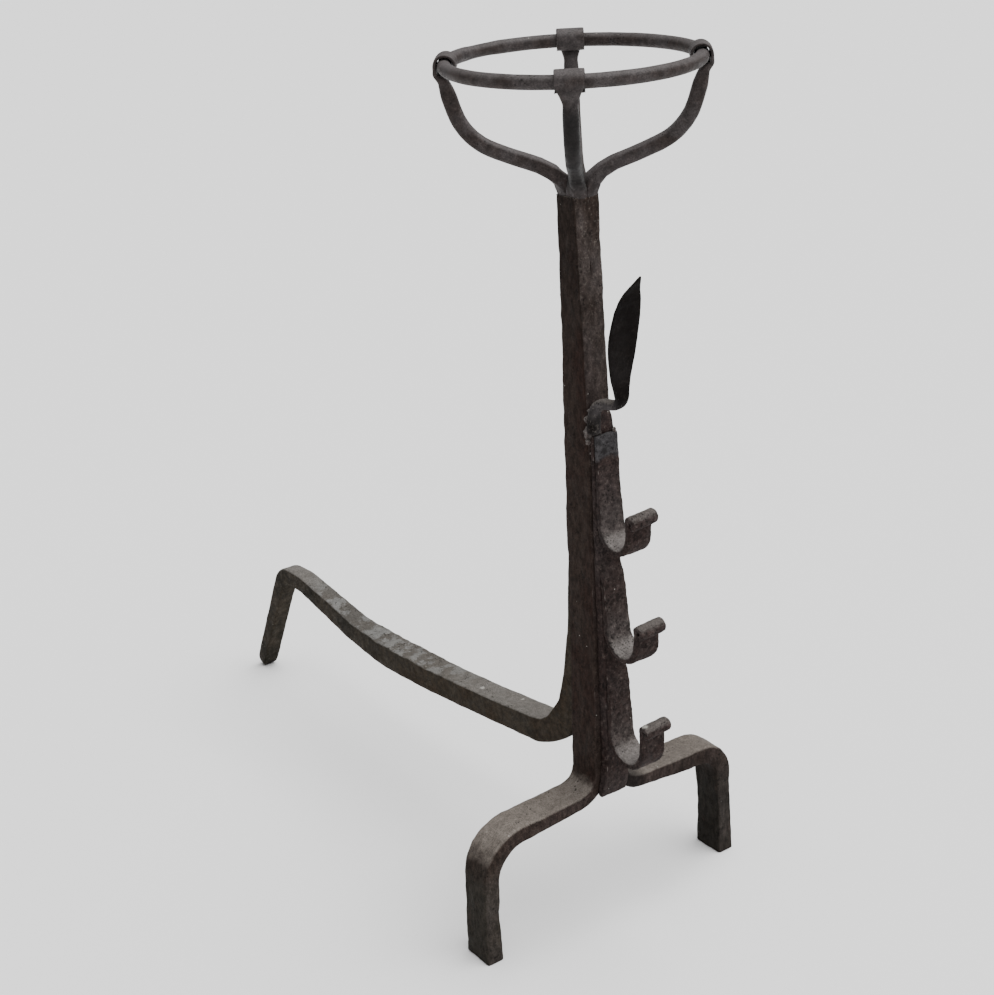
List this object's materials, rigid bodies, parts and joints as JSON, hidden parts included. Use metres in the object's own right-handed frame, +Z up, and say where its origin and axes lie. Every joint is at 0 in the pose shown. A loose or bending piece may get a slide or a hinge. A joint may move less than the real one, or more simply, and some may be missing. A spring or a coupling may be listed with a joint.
{
  "type": "andiron",
  "caption": "Tall forged iron andiron: a column on splayed feet with a ring basket on top, spit hooks and a leaf on the front, and a sagging log bar with a rear foot.",
  "frame": {"origin": "on the floor, under the middle of the whole andiron's bounding box", "axes": "+Z up along the column, +X to the right foot as seen from the front, -Y to the front where the hooks are, +Y along the log bar to the rear foot"},
  "size_m": [0.3044, 0.772, 0.8102],
  "materials": {
    "column_iron": "forged, smoke-browned",
    "hook_iron": "forged, pitted, rubbed light in the troughs",
    "bar_iron": "forged, scaled on top",
    "basket_iron": "forged, smooth",
    "ring_iron": "forged, smooth",
    "leaf_iron": "forged, dark"
  },
  "bodies": {
    "frame": {"left_upright_bar": "column_iron", "right_upright_bar": "column_iron", "hook_spine": "column_iron", "hook_top": "hook_iron", "hook_middle": "hook_iron", "hook_bottom": "hook_iron", "log_bar": "bar_iron", "basket_arm_rear": "basket_iron", "basket_arm_left": "basket_iron", "basket_arm_front": "basket_iron", "basket_arm_right": "basket_iron", "leaf_finial": "leaf_iron"},
    "ring": {"basket_ring": "ring_iron"}
  },
  "joints": [
    {"name": "ring_turn", "type": "hinge", "parent": "frame", "child": "ring", "pos_m": [0, -0.276, 0.8], "axis": [0, 0, 1], "continuous": true}
  ]
}
